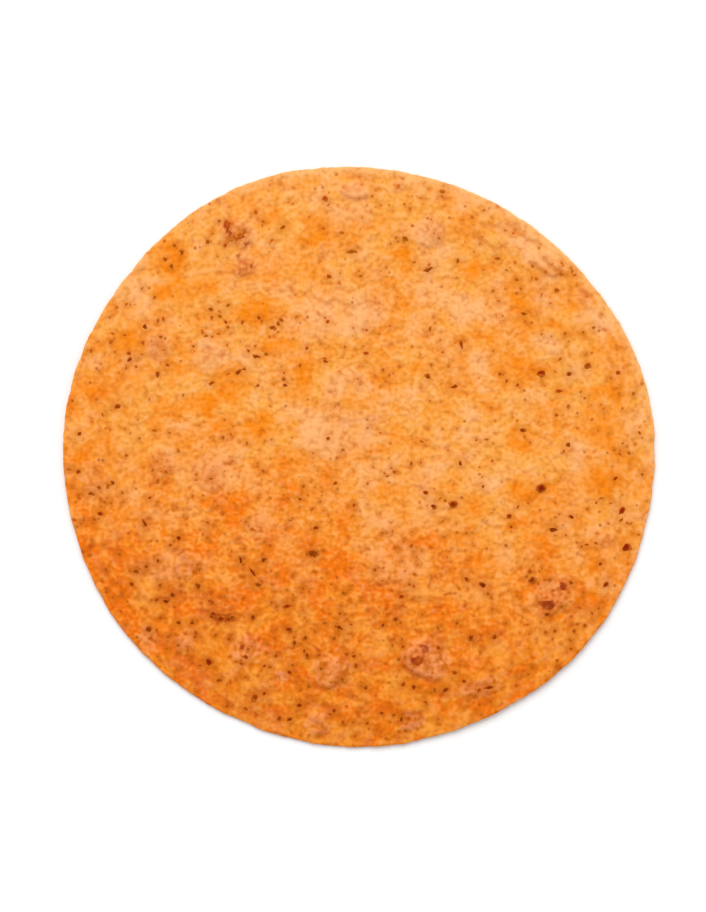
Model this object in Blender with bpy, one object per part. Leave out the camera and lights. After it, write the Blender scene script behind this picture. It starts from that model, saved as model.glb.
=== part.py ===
"""A soft, round, tomato-orange tortilla wrap lying flat on a table, as one solid at its real size.

Metres, +Z up. The origin is on the table, under the middle of the wrap. Seen from above, +Y is the far
side and +X is to the right.
"""

import math

import bmesh
import bpy
from mathutils import Vector, noise

# Driving dimensions of the sheet of dough.
MEAN_RADIUS = 0.125
DOUGH_THICKNESS = 0.0020
RIM_THICKNESS = 0.0011
RIM_TAPER_WIDTH = 0.022
RIM_ROUNDING = 0.0007
FLAT_SHARE = 17 / 24  # share of the radius that lies flat on the table

# The outline is a circle with slow waves: crests round the rim, height, and the angle of one crest.
OUTLINE_WAVES = (
    (2, 0.00140, -17.5),
    (3, 0.00055, -3.0),
    (4, 0.00030, 14.5),
    (5, 0.00020, 34.0),
    (7, 0.00035, 13.0),
)

# Outside the flat middle the soft rim stands a little off the table, more in some places.
RIM_LIFT = 0.0013
LIFT_WAVES = (
    (2, 0.00060, -10.0),
    (3, 0.00035, 52.0),
    (5, 0.00020, 20.0),
)

# Slow swells that make the sheet thicker and thinner by a share of its thickness.
SWELL_SIZE = 0.019
SWELL_SHARE = 0.14

# Baked blisters: x, y, half length, half width, turn in degrees, rise.
BLISTERS = (
    (-0.052, 0.096, 0.0105, 0.0075, -20, 0.0008),
    (-0.049, 0.081, 0.0070, 0.0060, 0, 0.0006),
    (-0.003, 0.113, 0.0065, 0.0055, 0, 0.0007),
    (0.019, 0.115, 0.0060, 0.0050, 10, 0.0006),
    (0.030, 0.096, 0.0085, 0.0075, 0, 0.0010),
    (-0.085, 0.046, 0.0090, 0.0090, 0, 0.0006),
    (-0.063, 0.044, 0.0075, 0.0085, 0, 0.0006),
    (-0.008, 0.058, 0.0200, 0.0150, 10, 0.0004),
    (0.056, 0.091, 0.0070, 0.0050, 15, 0.0006),
    (0.083, 0.080, 0.0080, 0.0050, -25, 0.0006),
    (-0.078, -0.046, 0.0160, 0.0090, 5, 0.0005),
    (0.017, -0.044, 0.0150, 0.0140, 0, 0.0005),
    (0.028, -0.086, 0.0110, 0.0095, -10, 0.0013),
    (0.083, -0.060, 0.0110, 0.0085, 45, 0.0010),
    (-0.048, -0.083, 0.0070, 0.0070, 0, 0.0006),
    (-0.011, -0.092, 0.0095, 0.0080, -15, 0.0009),
    (0.024, -0.113, 0.0060, 0.0050, 0, 0.0008),
    (-0.112, 0.008, 0.0070, 0.0110, 10, 0.0004),
)

GRID_CELLS = 48
ROUNDING_STEPS = 2
FLAT_TOLERANCE = 1e-7

DOUGH_COLOUR = (0.80, 0.27, 0.05, 1.0)
DOUGH_ROUGHNESS = 0.62


def clear_scene():
    """Remove every object of the open scene."""
    for obj in list(bpy.data.objects):
        bpy.data.objects.remove(obj, do_unlink=True)


def smooth_step(value):
    """Ease from 0 to 1 as value goes from 0 to 1."""
    value = min(max(value, 0.0), 1.0)
    return value * value * (3.0 - 2.0 * value)


def sum_of_waves(waves, angle):
    """Add up waves round the rim at this angle."""
    total = 0.0
    for crests, height, crest_angle in waves:
        total += height * math.cos(crests * (angle - math.radians(crest_angle)))
    return total


def outline_radius(angle):
    """Distance from the middle to the rim at this angle."""
    return MEAN_RADIUS + sum_of_waves(OUTLINE_WAVES, angle)


def square_to_round(a, b):
    """Turn a point of the square grid into a share of the radius and an angle."""
    share = max(abs(a), abs(b))
    if share == 0.0:
        return 0.0, 0.0
    if abs(a) >= abs(b):
        angle = math.pi / 4 * b / a
        return share, angle if a > 0 else angle + math.pi
    angle = math.pi / 2 - math.pi / 4 * a / b
    return share, angle if b > 0 else angle + math.pi


def rim_lift(share, angle):
    """Height of the underside above the table."""
    rise = smooth_step((share - FLAT_SHARE) / (1.0 - FLAT_SHARE))
    return rise * (RIM_LIFT + sum_of_waves(LIFT_WAVES, angle))


def dough_thickness(share):
    """Thickness of the sheet, which thins out to its rim."""
    to_rim = (1.0 - share) * MEAN_RADIUS / RIM_TAPER_WIDTH
    return RIM_THICKNESS + (DOUGH_THICKNESS - RIM_THICKNESS) * smooth_step(to_rim)


def swell(x, y):
    """Slow unevenness of the sheet, between about -1 and 1."""
    place = Vector((x, y, 0.0)) / SWELL_SIZE
    return noise.noise(place) + 0.5 * noise.noise(2.3 * place)


def blister_rise(x, y):
    """How far the blisters lift the top at this point."""
    rise = 0.0
    for centre_x, centre_y, half_length, half_width, turn, height in BLISTERS:
        cosine = math.cos(math.radians(turn))
        sine = math.sin(math.radians(turn))
        along = (x - centre_x) * cosine + (y - centre_y) * sine
        across = (y - centre_y) * cosine - (x - centre_x) * sine
        distance = (along / half_length) ** 2 + (across / half_width) ** 2
        if distance < 1.0:
            rise = max(rise, height * (1.0 - distance) ** 2)
    return rise


def make_round_slab(bm):
    """Shape a square grid into the wrap's outline and give it an even thickness."""
    bmesh.ops.create_grid(bm, x_segments=GRID_CELLS, y_segments=GRID_CELLS, size=1.0)
    for vert in bm.verts:
        share, angle = square_to_round(vert.co.x, vert.co.y)
        radius = share * outline_radius(angle)
        vert.co = (radius * math.cos(angle), radius * math.sin(angle), 0.0)
    raised = bmesh.ops.extrude_face_region(bm, geom=bm.faces[:])
    top = [item for item in raised["geom"] if isinstance(item, bmesh.types.BMVert)]
    bmesh.ops.translate(bm, verts=top, vec=(0.0, 0.0, DOUGH_THICKNESS))
    bmesh.ops.recalc_face_normals(bm, faces=bm.faces[:])


def round_the_rim(bm):
    """Round off the upper and lower edge that run round the rim."""
    walls = {face for face in bm.faces if abs(face.normal.z) < 0.5}
    edges = [
        edge
        for edge in bm.edges
        if sum(face in walls for face in edge.link_faces) == 1
    ]
    bmesh.ops.bevel(
        bm,
        geom=edges,
        offset=RIM_ROUNDING,
        offset_type="OFFSET",
        segments=ROUNDING_STEPS,
        profile=0.5,
        affect="EDGES",
        material=-1,
    )


def give_relief(bm):
    """Lift the rim, thin it, and raise the swells and blisters on the top."""
    for vert in bm.verts:
        x, y, z = vert.co
        angle = math.atan2(y, x)
        share = min(math.hypot(x, y) / outline_radius(angle), 1.0)
        up = z / DOUGH_THICKNESS
        thickness = dough_thickness(share) * (1.0 + SWELL_SHARE * swell(x, y))
        vert.co.z = rim_lift(share, angle) + up * (thickness + blister_rise(x, y))


def merge_flat_underside(bm):
    """Make one face of all that lies flat on the table."""
    flat = [
        face
        for face in bm.faces
        if all(abs(vert.co.z) < FLAT_TOLERANCE for vert in face.verts)
    ]
    bmesh.ops.dissolve_faces(bm, faces=flat, use_verts=True)


def centre_on_origin(bm):
    """Move the wrap sideways until its bounding box is centred on the origin."""
    xs = [vert.co.x for vert in bm.verts]
    ys = [vert.co.y for vert in bm.verts]
    shift = (-(min(xs) + max(xs)) / 2, -(min(ys) + max(ys)) / 2, 0.0)
    bmesh.ops.translate(bm, verts=bm.verts[:], vec=shift)


def baked_dough():
    """The plain orange of the baked dough."""
    material = bpy.data.materials.new("baked_dough")
    material.use_nodes = True
    shader = material.node_tree.nodes["Principled BSDF"]
    shader.inputs["Base Color"].default_value = DOUGH_COLOUR
    shader.inputs["Roughness"].default_value = DOUGH_ROUGHNESS
    shader.inputs["Metallic"].default_value = 0.0
    return material


def make_wrap(collection):
    """Model the wrap and place it in its collection."""
    bm = bmesh.new()
    make_round_slab(bm)
    round_the_rim(bm)
    give_relief(bm)
    merge_flat_underside(bm)
    centre_on_origin(bm)
    mesh = bpy.data.meshes.new("tortilla_wrap")
    bm.to_mesh(mesh)
    bm.free()
    mesh.shade_smooth()
    mesh.materials.append(baked_dough())
    wrap = bpy.data.objects.new("tortilla_wrap", mesh)
    collection.objects.link(wrap)
    return wrap


def main():
    clear_scene()
    collection = bpy.data.collections.new("tortilla_wrap")
    bpy.context.scene.collection.children.link(collection)
    make_wrap(collection)


main()
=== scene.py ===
"""The looks of a soft, tomato-orange tortilla wrap with herbs, lying flat and seen from above.

Metres, +Z up, +Y to the far side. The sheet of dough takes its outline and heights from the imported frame,
then gets its blisters, wrinkles and ragged rim as mesh and its browning as procedural materials.
"""

import math
import random

import bmesh
import bpy
import numpy as np
from bpy.props import FloatProperty, FloatVectorProperty, IntProperty, PointerProperty
from mathutils import Matrix, Vector, noise
from mathutils.bvhtree import BVHTree


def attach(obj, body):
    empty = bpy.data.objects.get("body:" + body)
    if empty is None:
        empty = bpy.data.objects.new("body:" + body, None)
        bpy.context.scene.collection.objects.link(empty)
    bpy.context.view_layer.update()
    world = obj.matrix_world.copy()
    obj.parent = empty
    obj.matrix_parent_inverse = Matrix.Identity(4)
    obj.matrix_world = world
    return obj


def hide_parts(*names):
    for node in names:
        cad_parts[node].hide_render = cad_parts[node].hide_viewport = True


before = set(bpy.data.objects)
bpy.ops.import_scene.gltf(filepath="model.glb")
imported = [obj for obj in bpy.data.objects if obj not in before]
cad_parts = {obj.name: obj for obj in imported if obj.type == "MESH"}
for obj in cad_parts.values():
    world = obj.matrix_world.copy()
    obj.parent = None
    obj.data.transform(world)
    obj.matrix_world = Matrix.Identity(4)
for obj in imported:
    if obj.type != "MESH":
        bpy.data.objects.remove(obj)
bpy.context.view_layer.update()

bl_info = {
    "name": "Tortilla Wrap",
    "version": (1, 0, 0),
    "blender": (4, 5, 0),
    "location": "View3D > Sidebar > Wrap",
    "description": "Makes the baked surface, the herb flecks and the plain stage of a soft tortilla wrap",
    "category": "Add Mesh",
}

NODE = "tortilla_wrap"
BODY = "root"
MM = 0.001

# The wrinkles, in the mesh and in the bump that is finer than the mesh.
STRETCH = 0.68  # share of x at which their noise is read, which makes them longer from side to side
RINGS_START, RINGS_BLEND = 0.088, 0.024  # radius from which they follow the rim, and over what width

# Unevenness of the underside.
UNDER_LIFT = 0.00012
LUMP_HEIGHT, LUMP_SIZE = 0.00024, 0.0090
UNDERSIDE_OFFSET = (0.41, -0.27, 0.13)  # from the top's patterns to its own

# Flecks in the dough.
STAIN_REACH = 0.0011  # how far the stain goes beyond a fleck's own length
TYPICAL_LENGTH, SMALL_LENGTH = 0.0020, 0.0010
SUNK_SHARE = 0.30  # share of its thickness by which a fleck is pushed in
RIM_MARGIN = 0.0015
CROWD_SIZE = 0.014  # size of the parts where flecks lie closer together
LEAF_SHARE = 0.62  # the other flecks are chilli
PLACE_SEED, KIND_SEED = 7, 19

KEY_PLACE, KEY_SIDE = (-0.40, 2.60, 3.00), 2.8

# Blisters: x, y, half length, half width in millimetres, turn in degrees, rise in millimetres, paleness.
BLISTERS = (
    (-52.2, 95.9, 9, 6, -20, 0.35, 0.3), (-49.3, 81.8, 5.5, 5, 0, 0.3, 0.4),
    (-3, 113.5, 6, 4.5, 0, 0.35, 0.6), (18.8, 115.6, 5, 3.5, 10, 0.3, 0.5),
    (29.6, 96, 6.8, 7, 0, 0.4, 0.7), (57.4, 91, 7, 4, 15, 0.25, 0.4), (82.2, 80.5, 7, 3.8, -25, 0.3, 0.5),
    (96.4, 69, 4.5, 4.2, 0, 0.25, 0.5), (78.4, 64, 5, 7, 20, 0.15, 0.5),
    (-85.2, 46.7, 8, 7.5, 0, 0.2, 0.5), (-63.4, 43, 8.5, 9, 0, 0.25, 0.6),
    (-85.2, -3, 8, 7.5, 0, 0.2, 0.4), (-63.4, -6.6, 8.5, 9, 0, 0.25, 0.6),
    (-113.5, -9, 5, 7, 10, 0.3, 0.4), (-8.1, 58.7, 19, 13, 8, 0.15, 0.8), (-8.1, 9, 19, 13, 8, 0.15, 0.8),
    (-6, 31, 10, 8, 0, 0.1, 0.6), (47.5, 63, 10, 9, 0, 0.12, 0.8), (47.5, 12.8, 10, 9, 0, 0.12, 0.8),
    (53.5, 40, 10, 7, 20, 0.1, 0.6), (53.5, -10, 10, 7, 20, 0.1, 0.6), (-80, -46.5, 16, 7, 8, 0.25, 0.5),
    (16.5, -44, 12, 13, 0, 0.2, 0.5), (91.6, 1.7, 6, 8, 0, 0.15, 0.7),
    (28.6, -86.2, 10, 8.6, -30, 0.9, 0.8), (82.2, -59.5, 11, 7.5, 45, 0.65, 0.5),
    (-48.4, -82.5, 6.5, 6.8, 0, 0.45, 0.6), (-11.6, -91.6, 8.6, 7, -15, 0.8, 0.6),
    (23.1, -113.1, 5, 4.2, 0, 0.7, 0.8), (-17.6, -114, 6.5, 5, 10, 0.5, 0.4),
    (51.8, -98.5, 9.5, 4, 12, 0.55, 0.6), (106, -33, 6, 7, 20, 0.2, 0.5), (-42, -29, 8, 7, 0, 0.1, 0.5),
    (8, -27.5, 9, 6, 0, 0.1, 0.5), (101, 57, 10, 9, 0, 0.05, 0.8), (80, 49, 9, 6, 0, 0.05, 0.7),
    (72, 88, 11, 6, -30, 0.05, 0.7), (56, 70, 8, 9, 0, 0.05, 0.6), (25, 28, 11, 8, 0, 0.05, 0.8),
    (50, 1, 10, 7, 0, 0.05, 0.6), (-90, -76, 4.5, 4, 0, 0.15, 0.6), (-33, -93.5, 3, 2.6, 0, 0.25, 0.8),
    (-75, -79, 6, 4, 60, 0.15, 0.5), (98, -52, 4, 4, 0, 0.15, 0.4),
)

# Toasted spots: x, y, half length, half width in millimetres, turn in degrees, strength, charred dots.
TOASTED = (
    (-52, 95, 8, 5.6, -32, 0.5, 0.7), (-54.5, 96.5, 4, 5.6, -10, 0.58, 0.9),
    (-55.8, 99.2, 2.2, 1.8, 0, 0.94, 0), (-55.5, 96, 1.4, 1.9, 10, 0.76, 0),
    (-53.5, 93.2, 2.2, 1.4, -20, 0.8, 0), (-50.8, 94.3, 1.7, 1.6, 0, 0.92, 0),
    (-48, 91.3, 2.2, 1.4, 20, 0.76, 0), (-57, 90.6, 1.8, 1.2, 25, 0.76, 0),
    (-48.2, 82, 4.2, 4.8, 15, 0.5, 0.5), (-50.8, 85.5, 1.7, 1.4, 0, 0.76, 0),
    (-46.3, 81.8, 1.6, 1.7, 0, 0.74, 0), (-85.2, 46.5, 5.2, 5.6, 0, 0.4, 0.6),
    (-63.4, 44, 4.6, 3.6, 0, 0.26, 0.4), (-85.2, -3, 5.2, 5.6, 0, 0.4, 0.6),
    (-63.4, -5.6, 4.6, 3.6, 0, 0.26, 0.4), (25.8, -84.2, 5.8, 4, 40, 0.56, 0),
    (24.6, -87, 3.6, 2.8, 15, 0.68, 0), (25.2, -87, 3.2, 2.2, 10, 1, 0),
    (28.4, -80.8, 3.2, 2.6, 20, 0.78, 0), (31, -88, 6.5, 5.5, 0, 0.2, 0.4),
    (84, -59.5, 9, 4.6, 46, 0.42, 0.4), (80.8, -62.8, 3.8, 2.6, 15, 0.9, 0),
    (79.4, -62.8, 2.2, 1.5, 10, 0.96, 0), (82.8, -57.6, 2.6, 1.6, 40, 0.7, 0),
    (87.4, -55.2, 1.8, 2.8, 20, 0.95, 0), (-48, -79.5, 4.4, 3.6, 0, 0.45, 0.3),
    (-49.3, -81.2, 2, 1.4, 20, 0.8, 0), (-47.2, -83.4, 1.4, 1, 0, 0.66, 0),
    (-49, -85.4, 1.9, 1.3, -15, 0.88, 0), (-11, -91.6, 4.8, 4, 0, 0.4, 0.5),
    (-10.7, -90.8, 1.8, 2.2, 0, 0.52, 0), (30.4, 97, 6, 7, 0, 0.24, 0.6),
    (-4, 114.4, 4, 2.2, 0, 0.36, 0.2), (6.9, 65.4, 4.6, 2.8, -20, 0.28, 0.5),
    (6.9, 15.7, 4.6, 2.8, -20, 0.28, 0.5), (23.1, -114.3, 2.2, 2, 0, 0.58, 0),
    (-16.4, -115.6, 4, 3.6, 0, 0.34, 0.3), (-14.8, -117.4, 2, 2.4, 0, 0.62, 0),
    (95.4, 68.8, 2.8, 3.2, 30, 0.36, 0.4), (106.4, -36.2, 3.2, 2.4, 20, 0.42, 0.3),
    (-113, -8.5, 4.2, 5.2, 0, 0.2, 0.3), (-59, -66, 9, 4.6, -30, 0.36, 0.5),
    (-57.5, -69, 6.4, 2.4, -5, 0.9, 0.6), (-67, -66, 2.6, 3.2, 0, 0.55, 0.4),
    (-68, -60.5, 4.5, 3.6, -30, 0.34, 0.5), (-104.4, -43, 1.8, 3.4, 5, 0.5, 0.3),
    (-95, -45, 6.5, 4.4, 40, 0.22, 0.6), (-79, -57.5, 6, 4.2, 10, 0.3, 0.6),
    (-83.6, -61, 4.6, 2, 0, 0.7, 0.2), (50.5, -98.5, 6, 3, 12, 0.4, 0.6), (8, -51, 5, 6, 0, 0.22, 0.7),
    (-72, -92, 12, 4, -46, 0.24, 0), (-52, -106, 11, 4, -26, 0.26, 0), (-106, -39, 4.5, 8, 18, 0.2, 0),
)

# Curved creases below and beside the blisters: strength, then points read off the photograph in its pixels.
CREASES = (
    (0.9, (344, 195), (350, 198), (357, 200), (364, 197)), (0.45, (356, 177), (366, 176), (374, 174)),
    (1, (530, 262), (537, 265), (543, 273), (550, 277), (556, 277), (560, 272)),
    (0.8, (545, 261), (549, 267), (555, 270), (560, 267)),
    (0.7, (480, 224), (488, 225), (495, 226), (500, 224)),
    (0.6, (505, 224), (512, 227), (518, 233), (525, 240), (536, 244)),
    (0.65, (478, 238), (485, 241), (490, 246), (497, 249), (505, 248), (512, 253)),
    (0.4, (139, 562), (145, 561), (150, 564), (147, 567)),
    (0.45, (140, 574), (149, 574), (156, 573), (161, 570), (169, 567)),
    (0.55, (175, 570), (179, 566), (185, 564), (190, 566)), (0.5, (174, 577), (178, 575), (176, 572)),
    (0.4, (182, 560), (189, 559), (195, 561), (200, 564)), (0.4, (175, 552), (181, 551), (185, 553)),
    (0.9, (232, 272), (239, 275), (246, 274)), (0.5, (219, 221), (213, 226), (212, 234), (208, 243)),
    (0.9, (404, 668), (416, 675), (431, 681), (442, 680)), (0.3, (437, 640), (445, 642), (450, 647)),
    (0.8, (349, 664), (346, 672), (341, 680), (336, 685), (325, 687), (315, 684)),
    (0.85, (401, 717), (405, 713), (411, 713), (418, 711), (422, 716)),
    (0.55, (310, 719), (316, 720), (321, 724), (323, 730), (320, 734)),
    (0.5, (322, 705), (330, 706), (334, 711)), (0.35, (201, 371), (209, 374), (217, 372), (223, 369)),
    (0.35, (201, 487), (209, 490), (217, 488), (223, 485)), (0.45, (419, 246), (428, 248), (436, 247)),
    (0.35, (441, 226), (446, 236), (442, 245)), (0.5, (562, 612), (575, 608), (583, 604)),
    (0.35, (538, 588), (547, 580), (556, 577)), (0.6, (571, 289), (578, 286), (583, 290), (588, 295)),
    (0.45, (581, 306), (587, 310), (593, 311)),
    (0.65, (324, 303), (335, 300), (346, 306), (356, 306), (367, 302)),
    (0.65, (324, 419), (335, 416), (346, 422), (356, 422), (367, 418)),
    (0.55, (364, 266), (375, 272), (384, 282), (389, 287)), (0.4, (324, 294), (336, 289), (349, 291)),
    (0.4, (324, 410), (336, 405), (349, 407)), (0.45, (388, 345), (400, 342)),
    (0.55, (371, 580), (382, 584), (391, 581), (400, 583)), (0.45, (411, 597), (422, 599), (440, 599)),
    (0.5, (468, 686), (477, 682), (486, 684)), (0.45, (455, 693), (466, 699), (478, 697)),
)

# Patches of deepest tomato orange: x, y, half length, half width in millimetres, strength.
DEEP_ORANGE = (
    (-78.8, 71, 9, 5, 1), (-66, 72.5, 7, 5, 1), (-43, 62, 9, 6, 1), (-36, 79, 5, 6, 0.6),
    (-32, 49, 7, 5, 0.9), (-97, 50.5, 6.5, 6.5, 0.8), (-54, 32.5, 9, 6, 1), (-23.5, 38, 6, 5, 0.7),
    (-17, 94, 7, 4, 0.6), (14.5, 34.5, 8, 5, 0.6), (19, 88, 6, 4, 0.5), (44, 98, 5.5, 6, 0.6),
    (46, 81, 6, 4, 0.5), (70.5, 57.5, 5, 6.5, 0.8), (69.5, 67, 6, 4, 0.6), (71.5, 35, 8, 5, 0.9),
    (100, 43, 7, 5, 0.3), (110, 27, 5, 7, 0.7), (104, 14.5, 9, 6, 0.8), (-80.5, 20.5, 8, 5, 1),
    (-65, 22.5, 7, 5, 1), (-43, 12.5, 9, 6, 1), (-29, -2, 8, 5, 0.8), (-53, -19.5, 8, 5, 1),
    (12, -15, 8, 4, 0.7), (70, 8, 7, 6, 0.9), (71.5, -15, 9, 6, 0.9), (103, -12, 8, 6, 0.7),
    (-107, -41, 8, 9, 0.2), (-107, 31, 8, 9, 0.4), (-108, 3, 8, 12, 0.5), (-105, -22, 7, 9, 0.5),
    (-80, 84, 10, 7, 0.9), (-26, 82, 9, 6, 0.4), (52, -47, 9, 8, 0.6), (50, -21, 7, 5, 0.8),
    (-5, -45.5, 8, 6, 0.8), (-24, -34, 6, 5, 0.7), (30, -36, 9, 4, 0.9), (78, -38, 9, 6, 0.8),
    (-55, -62, 12, 7, 0.9), (-37.7, -80.7, 6.5, 5, 1), (11, -58, 8, 5, 0.8), (36.3, -65.5, 9, 5, 0.9),
    (8, -88, 9, 5, 0.7), (50, -87.5, 9, 5, 0.6), (-8, -111, 9, 4, 0.7), (-70, -92, 9, 5, 0.7),
)

# Large flecks of herb and chilli: x, y, length, width in millimetres, turn in degrees.
LARGE_FLECKS = (
    (77.9, 36.4, 3.3, 3, 0), (77.9, -13.3, 3, 2.8, 0), (97.6, 39, 2, 1.8, 0), (89.9, 35.5, 2.4, 1.5, 60),
    (40.7, 30, 2.8, 1.9, 0), (40.3, -20.1, 2.8, 2.1, 0), (31.7, -21, 2.2, 1.6, -30),
    (82.7, -30.8, 3.3, 2.2, 10), (29.6, 80.1, 3, 1.5, 18), (19.7, 93.4, 2.1, 1.5, 0),
    (42, 83.7, 1.9, 1.3, 60), (43.7, 48.4, 2.4, 1, 100), (43.3, -3, 2.2, 0.9, 100),
    (70.2, 61.2, 2.3, 1.3, -12), (69.8, 11.6, 2.2, 1.2, -12), (84.4, 71.3, 1.7, 1.4, 0),
    (86.1, 78.4, 1.7, 1.4, 0), (67.2, 75.8, 1.6, 1.3, 0), (59.1, 84.8, 1.8, 1.1, 0),
    (35.5, 113.3, 1.7, 1.3, 0), (-3, 87.8, 2.6, 1.3, 0), (-14.6, 110.5, 1.9, 1.6, 0),
    (-44.1, 104.5, 1.6, 1.3, 90), (-32.5, 98.1, 2.3, 1.3, 22), (-64.7, 92.1, 1.9, 1.2, 60),
    (-55.7, 99.6, 1.8, 1.6, 0), (-51, 94.8, 1.5, 1.4, 0), (-54, 92.4, 1.3, 1.1, 0),
    (-12.8, 77.1, 1.8, 1.3, -15), (-56.1, 64.7, 1.6, 1.3, 45), (-13.3, 57.8, 1.6, 1.3, 30),
    (-13.3, 8.1, 1.6, 1.3, 30), (3, 44.5, 1.6, 1.2, 0), (-47.1, 45.4, 1.6, 1.2, -30),
    (-43.7, 42.8, 2.4, 1.3, -20), (-39.8, 44.1, 1.5, 1.2, 0), (-14.6, 41.1, 2, 1.3, -30),
    (-98.1, 44.1, 1.6, 1.4, 0), (-98.1, 41.5, 2.3, 1.2, 45), (-103.2, 21.4, 2.2, 1.8, 0),
    (-119.3, 9.9, 2, 1.3, 30), (-114.3, -15.7, 1.7, 1.4, 0), (-110.5, -24.2, 2.2, 1.4, -15),
    (-91.6, -28.3, 3.3, 1, -62), (-77.1, -34.7, 2.4, 1.6, -40), (-97, -54.4, 2, 1.8, 0),
    (-95.3, -48.8, 1.9, 1.4, 0), (-68.5, -55.2, 2.6, 1.4, -40), (-79.7, -58.9, 3.9, 1.5, 78),
    (-82.7, -61.7, 2.4, 1.4, 10), (-86.5, -61, 1.7, 1.3, 0), (-62.2, -67, 2, 1.6, 0),
    (-59, -69, 2.4, 1.8, 0), (-55.8, -69.4, 2.2, 1.7, 20), (-77, -70.8, 1.9, 1.3, 0),
    (-89.9, -73.5, 2.1, 1.9, 0), (-50.5, -44.1, 2.8, 1.1, 100), (-45.4, -49.3, 4.4, 1, -55),
    (-43.3, -54.6, 1.9, 1.5, 0), (-40.7, -44.1, 2.2, 1.8, 70), (-19.7, -41.1, 4, 2.7, 0),
    (-18.4, -30.4, 1.8, 1.5, 0), (-30.8, -63.8, 2.6, 1.4, 18), (-30, -73.7, 2.6, 1.7, -10),
    (-8.4, -72.8, 2.4, 1.2, -25), (-64.5, -87.6, 3.3, 2.7, 0), (-60, -95.4, 1.9, 1.3, 0),
    (-44.5, -102.6, 2.4, 2.2, 0), (-29.8, -92, 1.9, 1.3, -20), (-10.7, -108.4, 1.8, 1.5, 60),
    (-34, -111.5, 1.8, 1.4, 0), (18, -112, 2.3, 1.9, 0), (36.8, -99.4, 2.5, 2, 0),
    (40.7, -92.1, 1.8, 1.5, 0), (34, -81.6, 2, 1.5, -60), (55.3, -98.5, 3.4, 1.3, 15),
    (48, -77.1, 2.3, 1.9, 0), (57.8, -76.9, 2, 1.4, 60), (53.1, -54.8, 2.8, 2, -40),
    (45.8, -52.1, 1.9, 1.5, 0), (73.9, -52.5, 2.4, 1.9, 30), (103, -45.8, 1.8, 1.4, 0),
    (105.4, -54.4, 2.1, 1.3, 45), (112.2, -22.7, 3.4, 2, 55), (113.9, -38.5, 3.2, 2.9, 0),
    (89.5, 5.1, 1.8, 1.4, 90), (64.2, -25.3, 1.9, 1.5, 0), (109.2, -9.4, 2.8, 1.2, 32),
    (90.8, -25.7, 2.2, 1.2, -40), (29.5, 34.4, 2, 1.4, -45), (28.4, -15, 2, 1.4, -45),
    (85.6, 28.3, 2, 1.1, 0), (110.7, 36, 1.7, 1.4, 0), (100, 55.2, 1.7, 1.3, 0),
    (-51.6, 36.2, 2.2, 1.5, 50), (-41, 100.6, 1.3, 1, 0), (-63, 31.6, 1.9, 0.9, 35),
    (3, -98.5, 1.9, 1.4, 90),
)

# Flecks of middling size: x, y, length in millimetres.
MEDIUM_FLECKS = (
    (-23.8, -56.1, 1.6), (18.2, -59.4, 1.7), (-45.3, -68.4, 1.7), (-22.9, -77.3, 1.6),
    (-27.6, -79.3, 1.3), (-22.1, -84.8, 1.6), (-5.2, -84.2, 1.3), (-1.2, -89.1, 1.5), (-16.4, -90.4, 1.5),
    (-7.2, -94.8, 1.7), (-21.5, -97.8, 1.3), (18.9, -97.1, 1.5), (23.4, -98.3, 1.6), (-40.3, -101.1, 1.4),
    (-25.5, -106.2, 1.8), (9.6, -109.3, 1.3), (-29.6, -112.1, 1.5), (10.1, -71.9, 1.4),
    (15.7, -69.3, 1.4), (-7.9, -66.9, 1.3), (-35.4, -84.8, 1.3), (-40.5, -89.3, 1.2), (-38.1, -89.6, 1.2),
    (-23.4, -82.9, 1.3), (-2.2, -85.1, 1.2), (3.6, -114, 1.3), (-17.1, -84.6, 1.3), (44.9, -95.8, 1.4),
    (51.2, -99.3, 1.5), (90.5, -53.6, 1.5), (80.3, -67.2, 1.8), (81.2, -52.4, 1.4), (-54.2, -68.7, 1.5),
    (-63, -68.2, 1.5), (-63.6, -61.5, 1.4), (-71.3, -70.9, 1.5), (-55.5, -77.7, 1.4), (-70, -76.8, 1.4),
    (-85.1, -54.7, 1.5), (-85.9, -44.4, 1.4), (-90.8, -46.8, 1.5), (-119.8, -6.2, 1.4),
    (-105.1, -11, 1.5), (-107.2, -12.5, 1.4), (-110.8, -13, 1.5), (-48.8, 96.2, 1.3), (-59.9, 100.9, 1.3),
    (-57.2, 90.5, 1.3), (-63.4, 63.2, 1.5), (-62.9, 59.7, 1.3), (-59.4, 60.1, 1.3), (-56.8, 57.6, 1.3),
    (-55.9, 55.5, 1.1), (-49.8, 57.6, 1.3), (-43, 59.6, 1.4), (-33.3, 58.7, 1.3), (-34.6, 57, 1.6),
    (-37.1, 55.3, 1.7), (-22.3, 46.6, 1.3), (-49.1, 37.3, 1.3), (-32, 33.2, 1.5), (-31.5, 30.6, 1.4),
    (-81.9, 39.4, 1.4), (-86, 35.4, 1.5), (-91.6, 55.7, 1.7), (-92.2, 48.8, 1.4), (-84.7, 51.2, 1.2),
    (-70.7, 47.2, 1.1), (-78.8, 90.4, 1.4), (-75.8, 87.4, 1.6), (-82.7, 84.4, 1.4), (-80.1, 81.4, 1.4),
)


def screen(*channels):
    """Turn an 8-bit screen colour into the linear colour that Blender works with."""
    shares = [channel / 255 for channel in channels]
    return [s / 12.92 if s <= 0.04045 else ((s + 0.055) / 1.055) ** 2.4 for s in shares]


def colour_property(name, description, default):
    """Describe a colour that can be changed in the sidebar."""
    return FloatVectorProperty(
        name=name, description=description, default=default, subtype="COLOR", min=0.0, max=1.0
    )


def length_property(name, description, default):
    """Describe a length that can be changed in the sidebar."""
    return FloatProperty(
        name=name, description=description, default=default, min=0.0, unit="LENGTH", precision=5
    )


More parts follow.
